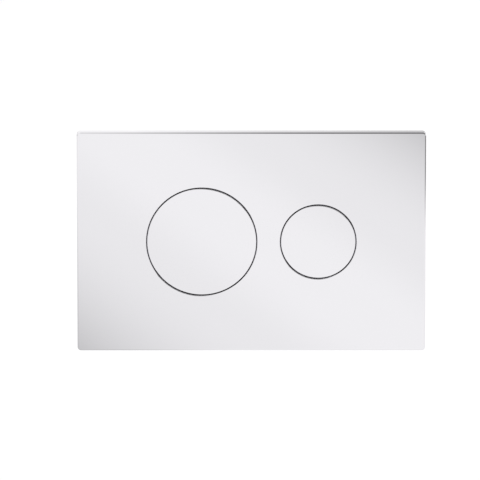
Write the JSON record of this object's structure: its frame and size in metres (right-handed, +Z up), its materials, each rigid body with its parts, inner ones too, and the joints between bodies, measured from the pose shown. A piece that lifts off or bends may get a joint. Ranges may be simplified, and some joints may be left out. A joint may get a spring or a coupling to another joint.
{
  "type": "flush button plate",
  "caption": "Chromed rectangular plate with a large and a small round push button for full and half flush, with the sprung button chassis, wall frame, studs and push rods behind it.",
  "frame": {"origin": "on the finished wall, behind the centre of the plate", "axes": "+Z up, +X to the right seen from the room, +Y into the wall"},
  "size_m": [0.25, 0.07, 0.161],
  "materials": {
    "chrome_plating": "bright chrome plating on moulded plastic",
    "chassis_plastic": "light grey moulded plastic, fine satin",
    "frame_plastic": "white moulded plastic, fine satin",
    "carrier_plastic": "dark grey slippery moulded plastic",
    "stop_rubber": "matt black rubber",
    "spring_steel": "bright stainless spring steel",
    "zinc_steel": "zinc plated steel",
    "nut_plastic": "blue moulded plastic",
    "full_rod_plastic": "white slippery moulded plastic",
    "half_rod_plastic": "pale blue slippery moulded plastic"
  },
  "bodies": {
    "housing": {"front_plate": "chrome_plating", "button_chassis": "chassis_plastic", "chassis_screws": "zinc_steel", "mounting_frame": "frame_plastic", "plate_clips": "spring_steel", "fixing_studs": "zinc_steel", "fixing_nuts": "nut_plastic", "full_return_spring": "spring_steel", "half_return_spring": "spring_steel"},
    "full_button": {"full_flush_button": "chrome_plating", "full_button_carrier": "carrier_plastic", "full_stop_pads": "stop_rubber"},
    "full_rod": {"full_push_rod": "full_rod_plastic", "full_rod_locknut": "nut_plastic", "full_rod_tip": "full_rod_plastic"},
    "half_button": {"half_flush_button": "chrome_plating", "half_button_carrier": "carrier_plastic", "half_stop_pads": "stop_rubber"},
    "half_rod": {"half_push_rod": "half_rod_plastic", "half_rod_locknut": "nut_plastic", "half_rod_tip": "half_rod_plastic"}
  },
  "joints": [
    {"name": "full_button_press", "type": "slide", "parent": "housing", "child": "full_button", "axis": [0, 1, 0], "range_m": [0, 0.006], "stiffness_N_per_m": 220, "springref_m": -0.018, "deforming": ["full_return_spring"]},
    {"name": "half_button_press", "type": "slide", "parent": "housing", "child": "half_button", "axis": [0, 1, 0], "range_m": [0, 0.006], "stiffness_N_per_m": 220, "springref_m": -0.018, "deforming": ["half_return_spring"]},
    {"name": "full_rod_slide", "type": "slide", "parent": "housing", "child": "full_rod", "axis": [0, 1, 0], "range_m": [0, 0.006]},
    {"name": "half_rod_slide", "type": "slide", "parent": "housing", "child": "half_rod", "axis": [0, 1, 0], "range_m": [0, 0.006]}
  ],
  "couplings": [
    {"joint": "full_rod_slide", "follows": "full_button_press", "ratio": 1},
    {"joint": "half_rod_slide", "follows": "half_button_press", "ratio": 1}
  ]
}
